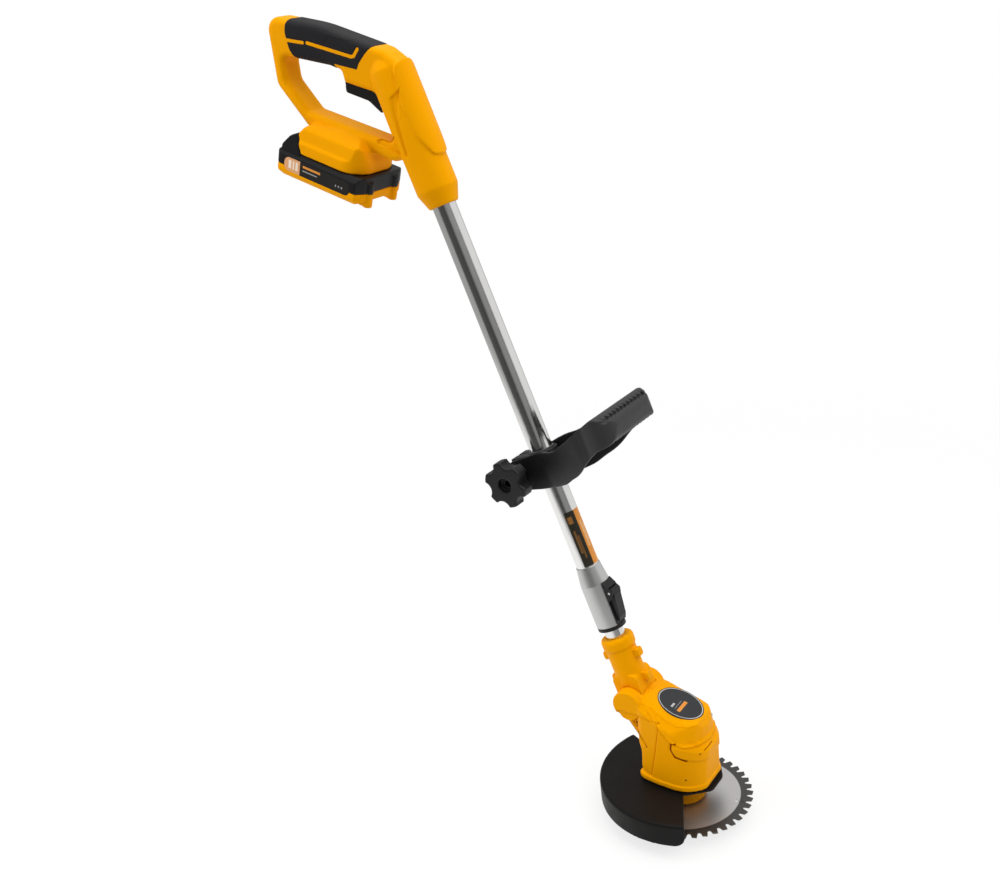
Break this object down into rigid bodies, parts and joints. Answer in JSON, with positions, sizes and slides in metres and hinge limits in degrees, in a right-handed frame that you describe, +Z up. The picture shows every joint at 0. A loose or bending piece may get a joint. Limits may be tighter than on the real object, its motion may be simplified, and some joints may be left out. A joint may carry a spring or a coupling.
{
  "type": "string trimmer",
  "caption": "Cordless long-reach trimmer with a toothed disc, rear handle with sliding battery, telescopic shaft, clamp-on front loop and a tilting guarded head.",
  "frame": {"origin": "free lower end of the blade spindle, on its axis; the blade lies 15 mm above it", "axes": "+X forward, away from the user, +Y to the user's left, +Z up along the spindle; the shaft leans back 18.5 degrees in the XZ plane"},
  "size_m": [0.4915, 0.166, 0.8625],
  "materials": {
    "case_orange": "satin moulded, warm yellow-orange",
    "grip_charcoal": "soft moulded, fine matt grain",
    "black_plastic": "fine matt grain",
    "pack_black": "satin moulded",
    "label_print": "printed film, satin",
    "bright_tube": "polished stainless",
    "sleeve_alloy": "satin turned",
    "blade_steel": "ground, fine radial marks",
    "zinc_steel": "zinc plated",
    "gear_steel": "machined",
    "gearcase_alloy": "die cast",
    "motor_steel": "drawn can",
    "badge_grey": "satin",
    "guard_black": "moulded, light sheen",
    "knob_black": "moulded",
    "brass": "turned",
    "cell_wrap": "shrink sleeve",
    "board_green": "solder mask",
    "copper_wound": "wound copper and laminations",
    "liner_grey": "smooth"
  },
  "bodies": {
    "rear_handle": {"handle_shell_right": "case_orange", "handle_shell_left": "case_orange", "grip_skin_right": "grip_charcoal", "grip_skin_left": "grip_charcoal", "handle_screws": "zinc_steel", "switch_body": "black_plastic", "terminal_block": "black_plastic", "trigger_pin": "zinc_steel", "tube_pin": "zinc_steel", "upper_tube": "bright_tube", "tube_label": "label_print", "lock_sleeve": "sleeve_alloy", "lever_bracket": "black_plastic", "lever_pin": "zinc_steel", "sleeve_end_ring": "black_plastic", "trigger_spring": "zinc_steel"},
    "trigger": {"trigger": "black_plastic"},
    "battery": {"battery_case_upper": "pack_black", "battery_case_lower": "case_orange", "battery_label": "label_print", "battery_screws": "zinc_steel", "battery_cells": "cell_wrap", "battery_board": "board_green", "battery_contacts": "brass", "release_spring": "zinc_steel"},
    "release_button": {"release_button": "black_plastic"},
    "lock_lever": {"lock_lever": "black_plastic"},
    "clamp_liner": {"clamp_liner": "liner_grey"},
    "clamp": {"clamp_block": "knob_black"},
    "front_handle": {"front_loop": "knob_black", "clamp_bolt": "zinc_steel"},
    "knob": {"star_knob": "knob_black", "knob_insert": "brass"},
    "lower_shaft": {"inner_tube": "bright_tube", "inner_tube_guide": "liner_grey", "yoke_right": "case_orange", "yoke_left": "case_orange", "yoke_screws": "zinc_steel"},
    "head": {"head_shell_right": "case_orange", "head_shell_left": "case_orange", "head_badge": "badge_grey", "head_screws": "zinc_steel", "pivot_bolt": "zinc_steel", "gearcase_lower": "case_orange", "gearcase_upper": "gearcase_alloy", "spindle_bearings": "gear_steel", "motor_can": "motor_steel", "motor_end_cap": "black_plastic", "motor_magnets": "gear_steel", "motor_bearings": "brass", "blade_guard": "guard_black", "guard_screws": "zinc_steel"},
    "spindle": {"spindle": "gear_steel", "drive_gear": "gear_steel", "inner_flange": "gear_steel", "saw_blade": "blade_steel", "outer_flange": "gear_steel", "blade_nut": "zinc_steel"},
    "rotor": {"motor_rotor": "copper_wound", "motor_pinion": "brass"}
  },
  "joints": [
    {"name": "trigger_press", "type": "hinge", "parent": "rear_handle", "child": "trigger", "pos_m": [-0.2775, 0, 0.768], "axis": [0, 1, 0], "range_deg": [0, 5.5], "stiffness_Nm_per_rad": 3, "springref_deg": -2.86, "deforming": ["trigger_spring"]},
    {"name": "battery_slide", "type": "slide", "parent": "rear_handle", "child": "battery", "axis": [-0.9426, 0, 0.3338], "range_m": [0, 0.075]},
    {"name": "release_press", "type": "slide", "parent": "battery", "child": "release_button", "axis": [0.9426, 0, -0.3338], "range_m": [0, 0.003], "stiffness_N_per_m": 1500, "springref_m": -0.002},
    {"name": "lever_flip", "type": "hinge", "parent": "rear_handle", "child": "lock_lever", "pos_m": [-0.06739, 0, 0.25432], "axis": [0, -1, 0], "range_deg": [0, 100]},
    {"name": "telescope", "type": "slide", "parent": "rear_handle", "child": "lower_shaft", "axis": [0.3173, 0, -0.9483], "range_m": [0, 0.2]},
    {"name": "head_tilt", "type": "hinge", "parent": "lower_shaft", "child": "head", "pos_m": [-0.04632, 0, 0.13145], "axis": [0, 1, 0], "range_deg": [0, 50]},
    {"name": "spindle_spin", "type": "hinge", "parent": "head", "child": "spindle", "pos_m": [0, 0, 0], "axis": [0, 0, 1], "continuous": true},
    {"name": "motor_spin", "type": "hinge", "parent": "head", "child": "rotor", "pos_m": [-0.012, 0, 0], "axis": [0, 0, 1], "continuous": true},
    {"name": "clamp_slide", "type": "slide", "parent": "rear_handle", "child": "clamp_liner", "axis": [-0.3173, 0, 0.9483], "range_m": [-0.03, 0.25]},
    {"name": "clamp_swivel", "type": "hinge", "parent": "clamp_liner", "child": "clamp", "pos_m": [-0.13332, 0, 0.39148], "axis": [-0.3173, 0, 0.9483], "range_deg": [-90, 90]},
    {"name": "loop_tilt", "type": "hinge", "parent": "clamp", "child": "front_handle", "pos_m": [-0.15608, 0, 0.38387], "axis": [0, 1, 0], "range_deg": [-40, 45]},
    {"name": "knob_turn", "type": "hinge", "parent": "front_handle", "child": "knob", "pos_m": [-0.15608, 0, 0.38387], "axis": [0, 1, 0], "continuous": true}
  ],
  "couplings": [
    {"joint": "motor_spin", "follows": "spindle_spin", "ratio": -2.3333}
  ]
}
